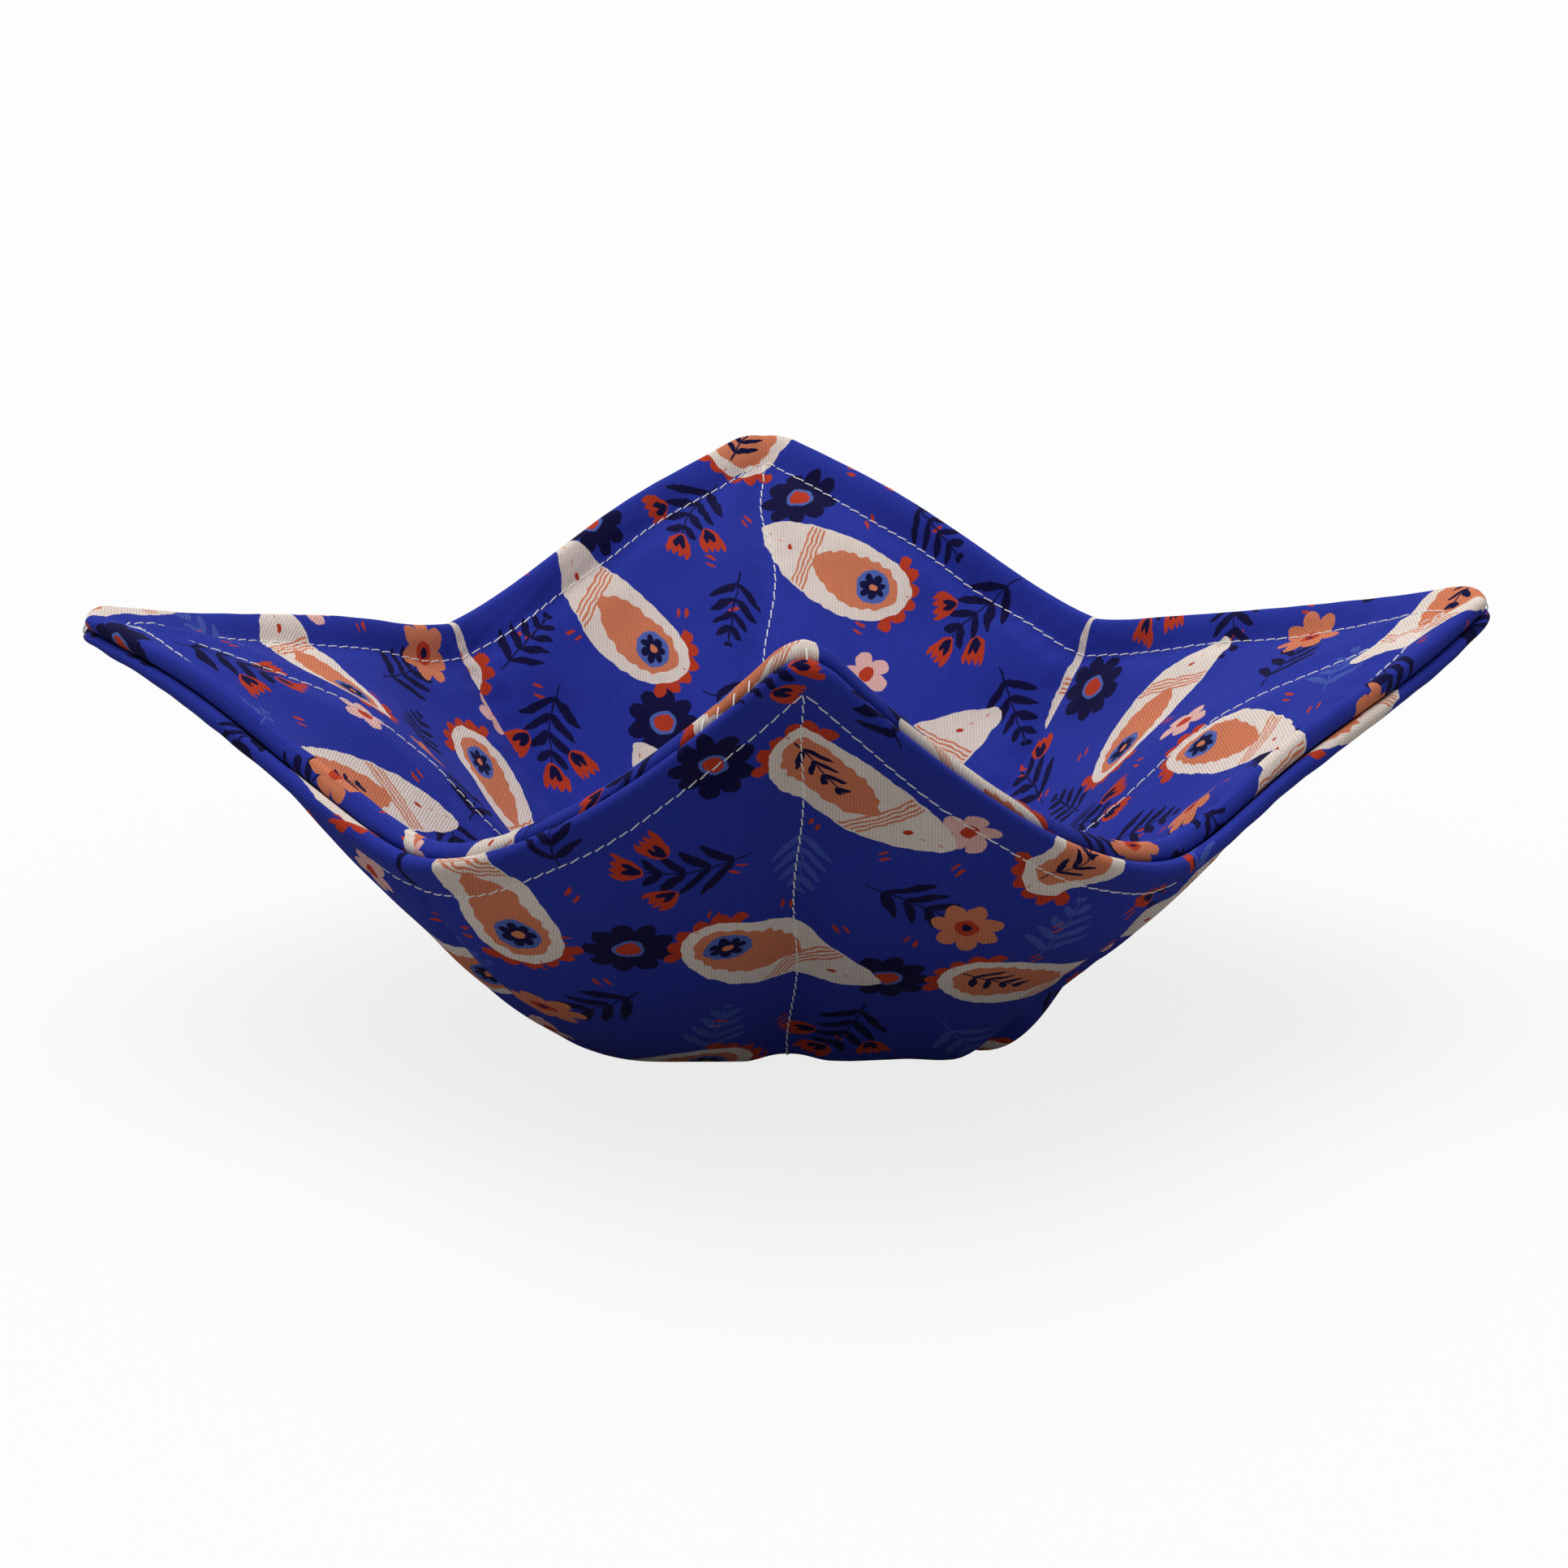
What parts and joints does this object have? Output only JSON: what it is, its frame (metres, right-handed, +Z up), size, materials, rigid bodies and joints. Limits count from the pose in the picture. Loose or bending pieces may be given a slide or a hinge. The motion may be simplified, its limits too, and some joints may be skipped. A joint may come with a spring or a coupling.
{
  "type": "microwave bowl cozy",
  "caption": "Quilted cotton holder with pointed corners and darted sides, shaped to carry a hot dish out of a microwave oven; rolled, topstitched rim and crossed quilting lines.",
  "frame": {"origin": "middle of the bounding box at the height of the table, on which the flat base rests", "axes": "+X to the right corner, +Y to the back corner, -Y to the steeper front corner, +Z up"},
  "size_m": [0.2668, 0.2522, 0.1031],
  "materials": {
    "outer_cotton": "plain-weave printed quilting cotton, matt",
    "lining_cotton": "plain-weave printed quilting cotton, matt",
    "cotton_batting": "soft needled cotton batting",
    "sewing_thread": "twisted cotton thread, slight sheen"
  },
  "bodies": {
    "root": {"outer_cover": "outer_cotton", "outer_batting": "cotton_batting", "lining_batting": "cotton_batting", "lining": "lining_cotton", "outer_quilting_thread_front_back": "sewing_thread", "outer_quilting_thread_left_right": "sewing_thread", "lining_quilting_thread_front_back": "sewing_thread", "lining_quilting_thread_left_right": "sewing_thread", "outer_topstitch_thread": "sewing_thread", "lining_topstitch_thread": "sewing_thread", "edge_seam_thread": "sewing_thread", "outer_dart_thread_back_right": "sewing_thread", "outer_dart_thread_back_left": "sewing_thread", "outer_dart_thread_front_left": "sewing_thread", "outer_dart_thread_front_right": "sewing_thread", "lining_dart_thread_back_right": "sewing_thread", "lining_dart_thread_back_left": "sewing_thread", "lining_dart_thread_front_left": "sewing_thread", "lining_dart_thread_front_right": "sewing_thread"}
  },
  "joints": []
}
